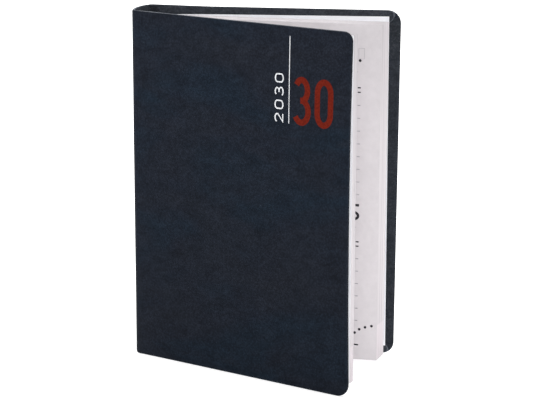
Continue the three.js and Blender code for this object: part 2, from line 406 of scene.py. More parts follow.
    # Painted light in these layers: lighter towards the head, a sheen on the turn-ins and a highlight on the
    # rims.
    for blend, share, layer in (
        ("MULTIPLY", None, paintedHeadLight), ("MIX", sheenMask, sheenTone), ("MIX", onRim, colours["rimHighlight"]),
        ("MULTIPLY", None, colours["rubbed"]), ("MULTIPLY", None, colours["embossed"]),
        ("ADD", None, colours["dusty"]),
    ):
        settings = {"data_type": "RGBA", "blend_type": blend, 0: 1.0}
        links = {6: colour, 7: layer} if share is None else {0: share, 6: colour, 7: layer}
        colour = addNode(tree, "ShaderNodeMix", settings, links).outputs[2]

    low, high = finish["roughness"]
    shine = addNode(tree, "ShaderNodeMapRange",
                    {"From Min": 0.3, "From Max": 0.7, "To Min": low, "To Max": high},
                    {"Value": pattern["mottle"]})
    height = addNode(tree, "ShaderNodeMath", {"operation": "MULTIPLY_ADD", 1: finish["grainShare"]},
                     {0: pattern["grain"], 2: pattern["pore"]})
    bump = addNode(tree, "ShaderNodeBump", {"Strength": 0.55, "Distance": finish["grainDepth"] * mm},
                   {"Height": height.outputs[0]})
    shader = addNode(tree, "ShaderNodeBsdfPrincipled", {"Specular IOR Level": 0.03, "IOR": 1.5}, {
        "Base Color": colour, "Roughness": shine.outputs["Result"], "Normal": bump.outputs["Normal"],
    })
    tree.links.new(shader.outputs[0], output.inputs["Surface"])
    return material


def paper(name, low, high, fibreSize, roughness, cutEdge=None):
    # Uncoated paper: a nearly even sheet with a faint cloudy fibre, dull at every angle. Where many sheets
    # are cut together, the fore edge is painted lighter than a page, as painted light falling on it, in thin
    # lighter and darker streaks. Under the perforation the corners have come a little loose and are painted
    # whiter still, as a painted highlight.
    material, tree, output = newMaterial(name)
    place = addNode(tree, "ShaderNodeTexCoord").outputs["Object"]
    fibre = addNode(tree, "ShaderNodeTexNoise",
                    {"Scale": 1 / (fibreSize * mm), "Detail": 4.0, "Roughness": 0.65},
                    {"Vector": place}).outputs["Fac"]
    tone = addNode(tree, "ShaderNodeValToRGB", {"stops": [(0.3, low), (0.7, high)]},
                   {"Fac": fibre}).outputs["Color"]
    if cutEdge:
        flat = addNode(tree, "ShaderNodeUVMap", {"uv_map": "flat"}).outputs["UV"]
        apart = addNode(tree, "ShaderNodeSeparateXYZ", {}, {"Vector": flat})
        # Painted light: the cut fore edge gets its own lighter colour.
        reach = leaf["foreEdge"] - foldAt - leafCut["ragged"]
        edge = {"From Min": (reach - cutEdge["soft"]) * mm, "From Max": reach * mm}
        onEdge = addNode(tree, "ShaderNodeMapRange", edge, {"Value": apart.outputs["X"]}).outputs["Result"]
        # Painted highlight: below the perforation the fore edge is mixed towards a whiter colour.
        loose = {
            "From Min": cutEdge["perforation"] * mm, "To Min": cutEdge["loose"],
            "From Max": (cutEdge["perforation"] + cutEdge["fade"]) * mm, "To Max": 0.0,
        }
        onCorner = addNode(tree, "ShaderNodeMapRange", loose, {"Value": apart.outputs["Y"]}).outputs["Result"]
        across, along = [1 / (size * mm) for size in cutEdge["streak"]]
        drawn = addNode(tree, "ShaderNodeMapping", {"Scale": (across, across, along)}, {"Vector": place})
        streak = addNode(tree, "ShaderNodeTexNoise", {"Scale": 1.0, "Detail": 3.0},
                         {"Vector": drawn.outputs["Vector"]}).outputs["Fac"]
        stops = [(0.38, cutEdge["low"]), (0.62, cutEdge["high"])]
        cut = addNode(tree, "ShaderNodeValToRGB", {"stops": stops}, {"Fac": streak}).outputs["Color"]
        cut = addNode(tree, "ShaderNodeMix", {"data_type": "RGBA", 7: hexColour(cutEdge["corner"])},
                      {0: onCorner, 6: cut}).outputs[2]
        tone = addNode(tree, "ShaderNodeMix", {"data_type": "RGBA"}, {0: onEdge, 6: tone, 7: cut}).outputs[2]
    bump = addNode(tree, "ShaderNodeBump", {"Strength": 0.15, "Distance": 0.01 * mm}, {"Height": fibre})
    shader = addNode(tree, "ShaderNodeBsdfPrincipled", {"Roughness": roughness, "Specular IOR Level": 0.2},
                     {"Base Color": tone, "Normal": bump.outputs["Normal"]})
    tree.links.new(shader.outputs[0], output.inputs["Surface"])
    return material


def speckled(name, size, detail, stops, gloss):
    # Pressed waste-paper board is warm grey with dark flecks. Offset ink and stamped pigment foil are thin
    # flat films that break up slightly over the grain.
    material, tree, output = newMaterial(name)
    place = addNode(tree, "ShaderNodeTexCoord").outputs["Object"]
    fleck = addNode(tree, "ShaderNodeTexNoise", {"Scale": 1 / (size * mm), "Detail": detail},
                    {"Vector": place})
    tone = addNode(tree, "ShaderNodeValToRGB", {"stops": stops}, {"Fac": fleck.outputs["Fac"]})
    shader = addNode(tree, "ShaderNodeBsdfPrincipled", gloss, {"Base Color": tone.outputs["Color"]})
    tree.links.new(shader.outputs[0], output.inputs["Surface"])
    return material


def wovenCloth(name, dark, light, threadSpacing):
    # Plain cotton: threads cross at a fixed spacing, so the cloth shows as fine bands. A wave node of
    # scale 0.314 draws one band to the unit.
    material, tree, output = newMaterial(name)
    place = addNode(tree, "ShaderNodeTexCoord").outputs["Object"]
    bands = {"wave_type": "BANDS", "Scale": 0.314 / (threadSpacing * mm)}
    warp, weft = [addNode(tree, "ShaderNodeTexWave", {"bands_direction": axis, **bands}, {"Vector": place})
                  for axis in ("Y", "Z")]
    weave = addNode(tree, "ShaderNodeMath", {"operation": "MULTIPLY"},
                    {0: warp.outputs["Fac"], 1: weft.outputs["Fac"]}).outputs[0]
    tone = addNode(tree, "ShaderNodeValToRGB", {"stops": [(0.1, dark), (0.6, light)]}, {"Fac": weave})
    bump = addNode(tree, "ShaderNodeBump", {"Strength": 0.5, "Distance": 0.05 * mm}, {"Height": weave})
    shader = addNode(tree, "ShaderNodeBsdfPrincipled", {"Roughness": 0.9, "Sheen Weight": 0.2},
                     {"Base Color": tone.outputs["Color"], "Normal": bump.outputs["Normal"]})
    tree.links.new(shader.outputs[0], output.inputs["Surface"])
    return material


def ink(name, dark, light, roughness):
    stops, gloss = [(0.35, dark), (0.6, light)], {"Roughness": roughness, "Specular IOR Level": 0.04}
    return speckled(name, 0.7, 3.0, stops, gloss)


coverFinish = leatherette()
# The cut-edge colours paint light: a lighter fore edge and a whiter painted highlight below the perforation.
pageStock = paper("uncoatedPageStock", "#cbc6c9", "#d2cdd0", 2.4, 0.85, {
    "low": "#cac5c8", "high": "#dcd7da", "streak": (0.7, 90), "soft": 0.02,
    # The corner colour and its share are a painted highlight below the perforation.
    "corner": "#f1e7ec", "loose": 0.35, "perforation": 14.2, "fade": 0.5,
})
endpaperStock = paper("smoothEndpaper", "#f0f0f5", "#f5f5f9", 3.0, 0.8)
kraftStock = paper("kraftLining", "#b5946a", "#c9a878", 1.2, 0.9)
boardStock = speckled("greyboard", 0.8, 5.0, [(0.3, "#7d776d"), (0.5, "#9a948a"), (0.7, "#aba59a")],
                      {"Roughness": 0.92})
gauze = wovenCloth("mullGauze", "#8f8a7c", "#e6e2d6", 0.9)
bandCotton = wovenCloth("darkBandCotton", "#12151b", "#20242e", 1.1)
cotton = wovenCloth("sewingCotton", "#cfcabd", "#f0ede4", 0.25)
whiteFoil = ink("whitePigmentFoil", "#cdcfd3", "#e4e6e9", 0.5)
redFoil = ink("redPigmentFoil", "#5a150a", "#671b0d", 0.55)
greyInk = ink("greyOffsetInk", "#a19ea5", "#b0adb4", 0.75)
blackInk = ink("blackOffsetInk", "#2b2a2e", "#3a393d", 0.7)
print("materials ready")


# The leatherette case.

caseGrid = {
    "rows": 46, "grooveColumns": [1.6, 1.95, 2.35, 2.8, 3.4, 4.4, 6.0], "coverFrom": 8.5,
    "coverColumns": (27, 16), "wrapColumns": 9, "pinchColumns": 4, "wrapTurn": math.radians(25),
    "spineColumns": 22, "edgeSteps": (5, 4), "flapSteps": (0.8, 1.7, 3.0, 5.0), "rimShare": 2.2,
    "pleats": 4, "pleatDepth": 0.3, "pleatWidth": 1.6, "pleatFade": 3, "mitre": 0.002,
    "waveSize": 17.0, "waveHeight": 0.06,
}


def wobble(along, z):
    # Leatherette never lies quite flat on its board.
    size = caseGrid["waveSize"]
    return caseGrid["waveHeight"] * noise.noise(Vector((along / size, z / size, 0.3)))


def cornerLift(side, x):
    # How far the outline has risen at this column, and which way it faces, at the tail and the head.
    lifts, nods = [], []
    for radius in covers[side]["corners"]:
        rounding = radius - book["edgeRadius"]
        beyond = min(1.0, max(0.0, x - (book["width"] - radius)) / rounding)
        nods.append(math.asin(beyond))
        lifts.append(rounding * (1 - math.cos(nods[-1])))
    return {"lift": lifts, "nod": nods}


def columnsTo(side, columns, first, onEdges, onCorners):
    # Adds the places of columns from here to the fore edge, close together round the corners.
    widest = max(covers[side]["corners"])
    begin, radius = book["width"] - widest, widest - book["edgeRadius"]
    columns += spread(first, begin, onEdges)
    columns += [begin + radius * math.sin(t) for t in spread(0, math.pi / 2, onCorners)[1:]]
    return columns


def coverColumns(side):
    # Columns of a cover from its joint to its fore edge.
    edge, columns = book["edgeRadius"], []
    for i in range(caseGrid["wrapColumns"]):
        turn = caseGrid["wrapTurn"] * (1 - i / caseGrid["wrapColumns"])
        pinch = smooth(i / caseGrid["pinchColumns"])
        depth = book["spineDepth"] * (1 - pinch) + book["jointDepth"] * pinch
        x = spinePoint(turn, 0)[0]
        columns.append({"turn": turn, "x": x, "depth": depth, "along": spineTravel(turn)})
    starts = [book["spineWrap"]] + caseGrid["grooveColumns"]
    for x in columnsTo(side, starts, caseGrid["coverFrom"], *caseGrid["coverColumns"]):
        share = boardShare(x)
        depth = book["jointDepth"] * (1 - share) + book["coverDepth"] * share
        columns.append({"turn": None, "x": x, "depth": depth, "along": sheetPlace(x)})
    for column in columns:
        column.update(cornerLift(side, column["x"]))
        column.update({"side": side, "way": covers[side]["way"]})
        column["edge"] = min(edge, column["depth"] / caseGrid["rimShare"])
    return columns


def spineColumns():
    # The two halves meet at the middle of the spine, so each column counts from there.
    first, depth = caseGrid["wrapTurn"], book["spineDepth"]
    columns = []
    for place in spread(first, math.pi - first, caseGrid["spineColumns"]):
        way = -1 if place < math.pi / 2 else 1
        turn = min(place, math.pi - place)
        columns.append({
            "side": None, "way": way, "turn": turn, "along": spineTravel(turn), "depth": depth,
            "edge": min(book["edgeRadius"], depth / caseGrid["rimShare"]), "lift": (0, 0), "nod": (0, 0),
        })
    return columns


def casePoint(column, depth, z, slide=0.0):
    depth += wobble(column["way"] * (column["along"] + slide), z)
    if column["turn"] is None:
        return onCover(column["side"], column["x"] + slide, depth, z)
    x, y = spinePoint(column["turn"], depth)
    z += jointRise(column["way"] * y, z)
    if column["side"] is None:
        return inRow(x, column["way"] * y, z)
    return onJoint(column["side"], x, column["way"] * y, z, jointShare(column["x"]))


def rimProfile(edge, depth):
    # From the outer face round the edge to the inner face, then along the turned-in flap and down to
    # the board. Each step is how far out it lies from the start of the rounding, and its depth.
    outer, inner = [spread(0, math.pi / 2, count) for count in caseGrid["edgeSteps"]]
    flapEnd = edge - book["turnIn"]
    profile = [(edge * math.sin(t), edge * (1 - math.cos(t))) for t in outer[1:]]
    profile += [(edge * math.cos(t), depth - edge * (1 - math.sin(t))) for t in inner]
    profile += [(-step, depth) for step in caseGrid["flapSteps"]]
    return profile + [(flapEnd, depth), (flapEnd, depth - book["skin"])]


def rowLevel(column, row):
    low, high = [column["edge"] + lift for lift in column["lift"]]
    return low + (book["height"] - low - high) * row / caseGrid["rows"]


def rimStations(columns):
    # Places round the open sides of a piece, each with its way out and how far a flap can reach inwards
    # before it meets the flap of the next side.
    rows, side = caseGrid["rows"], columns[-1]["side"]
    runs = []
    for end, row, up in ((0, 0, -1), (1, rows, 1)):
        run = []
        for column in columns:
            nod, limit = column["nod"][end], math.inf
            if side:
                radius = covers[side]["corners"][end]
                limit = radius - book["edgeRadius"] + max(0.0, book["width"] - radius - column["x"])
            run.append((column, row, math.sin(nod), up * math.cos(nod), limit))
        runs.append(run)
    if side is None:
        return runs
    tail, head = covers[side]["corners"]
    fore = []
    for row in range(1, rows):
        z = rowLevel(columns[-1], row)
        limit = min(max(tail, z), max(head, book["height"] - z)) - book["edgeRadius"]
        fore.append((columns[-1], row, 1.0, 0.0, limit))
    return [runs[0] + fore + runs[1][::-1]]


def casePiece(name, columns, flip):
    rows = caseGrid["rows"]
    flapFrom = caseGrid["edgeSteps"][0]
    points, faces, flat = [], [], []

    def add(column, depth, z, slide, uvSlide, uvRise):
        points.append(casePoint(column, depth, z, slide))
        flat.append((column["way"] * (column["along"] + uvSlide) * mm, (z + uvRise) * mm))
        return len(points) - 1

    for column in columns:
        column["points"] = [add(column, 0.0, rowLevel(column, row), 0, 0, 0) for row in range(rows + 1)]
    for column, ahead in zip(columns, columns[1:]):
        left, right = column["points"], ahead["points"]
        for k in range(rows):
            faces.append((left[k], right[k], right[k + 1], left[k + 1]))
    for run in rimStations(columns):
        rings = []
        for column, row, outX, outZ, limit in run:
            z = rowLevel(column, row)
            profile = rimProfile(column["edge"], column["depth"])
            ring, travelled, before = [column["points"][row]], 0.0, (0.0, 0.0)
            for step, (out, down) in enumerate(profile):
                travelled += math.dist((out, down), before)
                before = (out, down)
                if 0 < outX < 1 and step > flapFrom:
                    # Round a corner the flap is gathered into pleats.
                    fold = abs(math.sin(math.asin(outX) * caseGrid["pleats"] * 2))
                    gather = min(1.0, (step - flapFrom) / caseGrid["pleatFade"])
                    down -= caseGrid["pleatDepth"] * (1 - min(1.0, caseGrid["pleatWidth"] * fold)) * gather
                out = max(out, -limit * (1 - caseGrid["mitre"] * (len(profile) - step)))
                rise, slide = out * outZ, out * outX
                ring.append(add(column, down, z + rise, slide, outX * travelled, outZ * travelled - rise))
            rings.append(ring)
        for first, second in zip(rings, rings[1:]):
            for step in range(len(first) - 1):
                faces.append((first[step], first[step + 1], second[step + 1], second[step]))
    if flip:
        faces = [face[::-1] for face in faces]
    return newObject(name, points, faces, flat, coverFinish)


def coverBlend(thing, side):
    way = covers[side]["way"]
    begin = onJoint(side, book["jointFrom"], way * book["half"], 0, 0)
    end = onJoint(side, book["jointTo"], way * book["half"], 0, 1)
    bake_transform(thing)


for side in covers:
    coverCase = casePiece(side + "_case", coverColumns(side), flip=side == "back")
    coverBlend(coverCase, side)
    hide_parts(side + "_cover_skin")
spineCase = casePiece("spine_case", spineColumns(), flip=True)
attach(spineCase, "spine")
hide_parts("spine_skin")
print("case ready")


# Boards, endpapers and the strip of paper that crosses each joint.

lining = {
    "paper": 0.12, "window": 1.30, "onTurnIn": 1.65, "overJoint": 0.95, "tailMargin": 2.9,
    "foreEdge": 82.66, "lean": 0.009, "headEdge": 117.23, "climb": 0.0088, "headDrop": 0.55,
    "stepWidth": 1.4, "stepRows": [-0.8, -0.35, 0, 0.35, 0.8],
    "grooveColumns": [1.3, 1.5, 1.7, 2.0, 2.35, 2.7, 3.0, 4.0],
    "stripReach": 2.1, "stripGap": 0.1, "stripLap": 0.06, "stripArch": 0.25,
    "board": (0.38, 1.12), "boardColumns": (16, 7), "boardRows": 14,
}


def liningDepth(x, z):
    # The pasted paper follows the step where the turned-in leatherette ends.
    fromEdge = min(z, book["height"] - z, book["width"] - x)
    onTurnIn = smooth((book["turnIn"] - fromEdge) / lining["stepWidth"] + 0.5)
    depth = lining["window"] + (lining["onTurnIn"] - lining["window"]) * onTurnIn
    share = boardShare(x)
    return lining["overJoint"] * (1 - share) + depth * share


def liningEdge(x, z):
    # The paper was cut a little out of square: its head edge climbs away from the joint and its fore
    # edge leans.
    fore = lining["foreEdge"] - lining["lean"] * z
    head = lining["headEdge"] + lining["climb"] * x - lining["headDrop"] * smooth(1 - x / book["riseFade"])
    return min(x, fore), min(z, head)


def pastedown(side):
    inner, bottom, top = book["width"] - book["turnIn"], book["turnIn"], book["height"] - book["turnIn"]
    steps = lining["stepRows"]
    columns = lining["grooveColumns"] + spread(8, inner - 2, 12)
    columns += [inner + s for s in steps] + spread(inner + 2, book["width"], 3)
    rows = [lining["tailMargin"], 5, 8] + [bottom + s for s in steps] + spread(bottom + 6, top - 6, 14)
    rows += [top + s for s in steps] + [book["height"] - 8, book["height"] - 5, book["height"]]
    places = [[liningEdge(x, z) for z in rows] for x in columns]
    near, far = [[[onCover(side, x, liningDepth(x, z) - under, z) for x, z in line] for line in places]
                 for under in (0, lining["paper"])]
    flat = [[(x * mm, z * mm) for x, z in line] for line in places]
    return newSheet(side + "_lining", near, far, flat, endpaperStock, flip=side == "back")


def stripEnds(side, z):
    way, reach = covers[side]["way"], lining["stripReach"]
    begin = inRow(foldAt + lining["stripGap"], way * (blockHalf + lining["stripGap"]), z)
    return begin, onCover(side, reach, lining["overJoint"] + lining["stripLap"], z)


def jointPaper(side):
    # The endpaper runs from the lined board over the joint to the fold of the block.
    rows = spread(lining["tailMargin"], leafCut["high"], 8)
    near, far, flat = [], [], []
    for t in spread(0, 1, 5):
        line = []
        for z in rows:
            begin, end = stripEnds(side, z)
            arch = inward * lining["stripArch"] * mm * math.sin(math.pi * t)
            line.append(begin.lerp(end, t) + arch.to_3d())
        near.append(line)
        across = (end - begin).normalized()
        normal = Vector((-across.y, across.x, 0)) * covers[side]["way"]
        far.append([point + normal * lining["paper"] / 2 * mm for point in line])
        flat.append([(t * mm, z * mm) for z in rows])
    strip = newSheet(side + "_joint_paper", near, far, flat, endpaperStock, flip=side == "back")
    begin, end = stripEnds(side, 0)
    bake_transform(strip)


def caseBoard(side):
    columns = columnsTo(side, [], book["boardEdge"], *lining["boardColumns"])
    grids = []
    for depth in lining["board"]:
        grid = []
        for x in columns:
            low, high = [book["edgeRadius"] + lift for lift in cornerLift(side, x)["lift"]]
            rows = spread(low, book["height"] - high, lining["boardRows"])
            grid.append([onCover(side, x, depth, z) for z in rows])
        grids.append(grid)
    flat = [[(x * mm, 0) for z in rows] for x in columns]
    return newSheet(side + "_case_board", *grids, flat, boardStock, flip=side == "back")


for side in covers:
    paste = pastedown(side)
    coverBlend(paste, side)
    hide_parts(side + "_pastedown")
    jointPaper(side)
    board = caseBoard(side)
    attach(board, covers[side]["body"])
    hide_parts(side + "_board")
print("boards and endpapers ready")


# Leaves.

def addSheet(build, side, near, inset, foreEdges, ends):
    # One sheet, folded round the middle of its section.
    outer = leaf["sectionThickness"] / 2
    middle = near + outer
    levels = [ends[0], (ends[0] + ends[1]) / 2, ends[1]]
    grids = []
    for radius in (outer - inset, outer - inset - leafCut["paper"]):
        path = [(u, middle - radius) for u in [foreEdges[0]] + leafCut["straight"]]
        path += [(outer - radius * math.cos(t), middle + radius * math.sin(t))
                 for t in spread(-math.pi / 2, math.pi / 2, 6)]
        path += [(u, middle + radius) for u in leafCut["straight"][::-1] + [foreEdges[1]]]
        grids.append([[onLeaf(side, u, depth, z) for z in levels] for u, depth in path])
    flat = [[(u * mm, z * mm) for z in levels] for u, depth in path]
    addSlab(build, *grids, flat, flip=side == "front")


def leafBlend(thing):
    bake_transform(thing)


def reachOf(stack, index):
    # Sections nearer to the opening end a little short of the flyleaf.
    further = (len(stack["sections"]) - 1 - index) * stack["step"]
    return leaf["foreEdge"] + stack["reach"] - foldAt + further


for side, stack in stacks.items():
    for index, number in enumerate(stack["sections"]):
        name = f"section_{number:02d}"
        near = leaf["flyleafStep"] + index * leaf["sectionStep"]
        fore = reachOf(stack, index)
        build = ([], [], [])
        for sheet in range(leafCut["sheets"]):
            edges = [fore - random.random() * leafCut["ragged"] for end in range(2)]
            low = leafCut["low"] + 0.5 * random.random() * leafCut["ragged"]
            high = leafCut["high"] - 0.5 * random.random() * leafCut["ragged"]
            addSheet(build, side, near, sheet * leafCut["pitch"], edges, (low, high))
        section = newObject(name + "_leaves", *build, pageStock)
        leafBlend(section)
        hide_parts(name)
    path = [reachOf(stack, 0)] + leafCut["straight"] + [0.4, 0.0]
    levels = spread(leafCut["low"], leafCut["high"], 4)
    grids = [[[onLeaf(side, u, depth, z) for z in levels] for u in path] for depth in (0.0, lining["paper"])]
    flat = [[(u * mm, z * mm) for z in levels] for u in path]
    flyleaf = newSheet(side + "_loose_endpaper", *grids, flat, endpaperStock, flip=side == "front")
    leafBlend(flyleaf)
    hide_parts(side + "_flyleaf")
print("leaves ready")


# Figures and rules: plain strokes laid on a surface as thin film. A film is the depth of its face and of
# its back, against the surface.

pen = {"longest": 3.0, "shortest": 1e-5, "mitre": 0.55, "crossing": 0.004, "dotSides": 12}


def arc(cx, cz, rx, rz, first, last, count=14):
    return [(cx + rx * math.cos(math.radians(t)), cz + rz * math.sin(math.radians(t)))
            for t in spread(first, last, count)]


# Strokes of each figure in a box one wide and one high.
figures = {
    "0": [arc(0.5, 0.74, 0.5, 0.26, 0, 180) + arc(0.5, 0.26, 0.5, 0.26, 180, 360) + [(1.0, 0.74)]],
    "1": [[(0.15, 0.8), (0.55, 1.0), (0.55, 0.0)]],
    "2": [arc(0.5, 0.72, 0.48, 0.28, 170, -25) + [(0.03, 0.0), (1.0, 0.0)]],
    "3": [arc(0.48, 0.755, 0.45, 0.245, 150, -90), arc(0.48, 0.26, 0.52, 0.26, 100, -150)],
    "4": [[(0.5, 0.0), (0.5, 1.0), (0.0, 0.3), (0.64, 0.3)]],
    "5": [[(1.09, 1.0), (0.12, 1.0), (0.06, 0.495)]
          + arc(0.53, 0.2475, 0.47, 0.2475, 90, -90) + [(0.0, 0.0)]],
    "7": [[(0.0, 1.0), (1.0, 1.0), (0.35, 0.0)]],
    "8": [arc(0.5, 0.76, 0.42, 0.24, -90, 270, 18), arc(0.5, 0.26, 0.5, 0.26, 90, 450, 18)],
    "9": [[(0.2, 0.0), (0.65, 0.3)] + arc(0.5, 0.7, 0.5, 0.3, -30, 330, 20)],
}


def addStroke(build, line, width, place, film):
    # A ribbon of even width along a line of points, cut short enough to follow the surface.
    fine = [Vector(line[0])]
    for point in line[1:]:
        before, point = fine[-1], Vector(point)
        pieces = max(1, math.ceil((point - before).length / pen["longest"]))
        fine += [before.lerp(point, i / pieces) for i in range(1, pieces + 1)]
    apart = [True] + [(b - a).length > pen["shortest"] for a, b in zip(fine, fine[1:])]
    fine = [point for point, kept in zip(fine, apart) if kept]
    edges = []
    for i, point in enumerate(fine):
        ahead = fine[i + 1] - point if i + 1 < len(fine) else point - fine[i - 1]
        behind = point - fine[i - 1] if i > 0 else ahead
        ahead, behind = ahead.normalized(), behind.normalized()
        along = (ahead + behind).normalized() if (ahead + behind).length > 1e-6 else ahead
        out = Vector((-along.y, along.x)) * width / 2 / max(pen["mitre"], along.dot(ahead))
        edges.append((point + out, point - out))
    near, far = [[[place(edge.x, edge.y, lift) for edge in pair] for pair in edges] for lift in film]
    flat = [[(edge.x * mm, edge.y * mm) for edge in pair] for pair in edges]
    addSlab(build, near, far, flat, flip=True)


def textWidth(text, size):
    return len(text) * (size["width"] + size["gap"]) - size["gap"]


def addText(build, text, left, foot, size, place, film):
    stroke = size["stroke"]
    for index, sign in enumerate(text):
        start = left + index * (size["width"] + size["gap"])
        for layer, line in enumerate(figures[sign]):
            # Where strokes of a figure cross, the later one lies on top.
            raised = (film[0] - pen["crossing"] * layer, film[1])
            path = [(start + stroke / 2 + px * (size["width"] - stroke),
                     foot + stroke / 2 + pz * (size["height"] - stroke)) for px, pz in line]
            addStroke(build, path, stroke, place, raised)


def addDot(build, x, z, radius, place, film):
    points, faces, flat = build
    start, count = len(points), pen["dotSides"]
    ring = arc(x, z, radius, radius, 0, 360, count)[:-1]
    for lift in film:
        points.extend(place(px, pz, lift) for px, pz in ring)
        flat.extend((px * mm, pz * mm) for px, pz in ring)
    faces.append(tuple(range(start, start + count)))
    faces.append(tuple(range(start + 2 * count - 1, start + count - 1, -1)))
    for i in range(count):
        j = (i + 1) % count
        faces.append((start + j, start + i, start + count + i, start + count + j))


foil = {
    "film": (-0.022, 0.01),
    "line": {"x": 62.72, "from": 88.7, "to": 116.9, "width": 0.27},
    "small": {
        "text": "2030", "x": 60.6, "foot": 88.7, "width": 3.0, "height": 3.4, "gap": 1.3, "stroke": 0.42,
    },
    "large": {
        "text": "30", "x": 64.1, "foot": 88.5, "width": 6.95, "height": 15.8, "gap": 1.4, "stroke": 2.0,
    },
}


def onFrontSkin(x, z, lift):
    return onCover("front", x, lift + wobble(covers["front"]["way"] * sheetPlace(x), z), z)


def upTheCover(x, z, lift):
    # The small figures read upwards: their own X runs towards the head.
    small = foil["small"]
    return onFrontSkin(small["x"] - (z - small["foot"]), small["foot"] + (x - small["x"]), lift)


for name, size, place, stock in (
    ("cover_line_and_year", foil["small"], upTheCover, whiteFoil),
    ("cover_figures", foil["large"], onFrontSkin, redFoil),
):
    build = ([], [], [])
    if size is foil["small"]:
        line = foil["line"]
        ends = [(line["x"], line["from"]), (line["x"], line["to"])]
        addStroke(build, ends, line["width"], onFrontSkin, foil["film"])
    addText(build, size["text"], size["x"], size["foot"], size, place, foil["film"])
    stamped = newObject(name, *build, stock, soft=False)
    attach(stamped, "front_cover")

pageDepth = {
    side: leaf["flyleafStep"] + (len(stack["sections"]) - 1) * leaf["sectionStep"] + leaf["sectionThickness"]
    for side, stack in stacks.items()
}
# Measured on the right page, from the left and from the tail, where the photo shows its fore edge.
printing = {
    "film": (0.012, 0.003), "margin": 9.6, "hourMargin": 14.6, "ruleEnd": 74.95,
    "rule": 0.16, "hourRule": 0.07, "tick": 0.9, "tickWidth": 0.26,
    "number": {"left": 66.42, "above": 2.32, "width": 4.05, "height": 5.7, "gap": 0.6, "stroke": 0.85},
    "hour": {"below": 0.8, "width": 1.15, "height": 1.9, "gap": 0.35, "stroke": 0.22},
    "days": [
        {"number": 14, "rule": 101.5, "first": 90.25, "step": 4.34, "hours": 8, "from": 7},
        {"number": 15, "rule": 48.6, "first": 37.6, "step": 4.35, "hours": 6, "from": 9},
    ],
    "box": {"x": (74.2, 76.1), "z": (105.9, 109.4), "width": 0.08},
    "point": (74.65, 105.3, 0.5),
    "dashes": {"x": (74.0, 75.0), "z": (96.2, 94.67, 43.5, 42.0), "width": 0.42},
    "foot": {"line": [(73.9, 7.3), (75.3, 7.2)], "width": 0.5},
    "perforation": {"at": [(74.1, 11.5), (75.65, 12.75), (77.65, 13.6), (79.85, 14.15)], "radius": 0.47},
}


def onPage(side):
    # Places a mark on the page that faces the opening; x runs from the left of the page, as it is read.
    def place(x, z, lift):
        fromFold = x - foldAt if side == "back" else leaf["foreEdge"] - x
        return onLeaf(side, fromFold, pageDepth[side] + lift, z)
    return place


def printPage(side):
    # The left page mirrors the layout, but not the figures.
    place, film = onPage(side), printing["film"]
    grey, black = ([], [], []), ([], [], [])

    def facing(x):
        return x if side == "back" else foldAt + leaf["foreEdge"] - x

    def drawLine(build, line, width):
        addStroke(build, [(facing(x), z) for x, z in line], width, place, film)

    def write(text, x, foot, size):
        left = min(facing(x), facing(x + textWidth(text, size)))
        addText(black, text, left, foot, size, place, film)

    start, hourStart = [foldAt + printing[key] for key in ("margin", "hourMargin")]
    end, number, hour = [printing[key] for key in ("ruleEnd", "number", "hour")]
    tick = end - printing["tick"]
    for day in printing["days"]:
        shown = day["number"] - (0 if side == "back" else len(printing["days"]))
        write(str(shown), number["left"], day["rule"] + number["above"], number)
        drawLine(grey, [(start, day["rule"]), (tick, day["rule"])], printing["rule"])
        for row in range(day["hours"]):
            z = day["first"] - row * day["step"]
            drawLine(grey, [(hourStart, z), (tick, z)], printing["hourRule"])
            drawLine(grey, [(tick, z), (end, z)], printing["tickWidth"])
            write(str(day["from"] + row), start, z - hour["below"], hour)
    box, dashes = printing["box"], printing["dashes"]
    (left, right), (low, high) = box["x"], box["z"]
    drawLine(grey, [(left, high), (right, high), (right, low), (left, low), (left, high)], box["width"])
    if side == "back":
        addDot(black, *printing["point"], place, film)
    for z in dashes["z"]:
        drawLine(black, [(x, z) for x in dashes["x"]], dashes["width"])
    for x, z in printing["perforation"]["at"]:
        addDot(black, facing(x), z, printing["perforation"]["radius"], place, film)
    drawLine(black, printing["foot"]["line"], printing["foot"]["width"])
    for name, build, stock in (("grey", grey, greyInk), ("black", black, blackInk)):
        printed = newObject(f"{side}_page_{name}_print", *build, stock, soft=False)
        leafBlend(printed)


for side in stacks:
    printPage(side)
print("foil and print ready")


# Head and tail bands: threads wound over a cord, with a skirt glued to the folds.

band = {
    "x": (2.21, 3.6), "skirt": (2.21, 2.51), "half": blockHalf - 0.6, "bead": 0.6, "skirtHeight": 8.0,
    "threads": 26, "threadSteps": 4, "threadDepth": 0.07, "sides": 16, "squareness": 0.75, "clearance": 0.03,
    "endSize": 0.35, "endStep": 0.33,
}


def rounded(value):
    # A sine or cosine drawn outwards, so that the bead is a square with soft corners.
    return math.copysign(abs(value) ** band["squareness"], value)


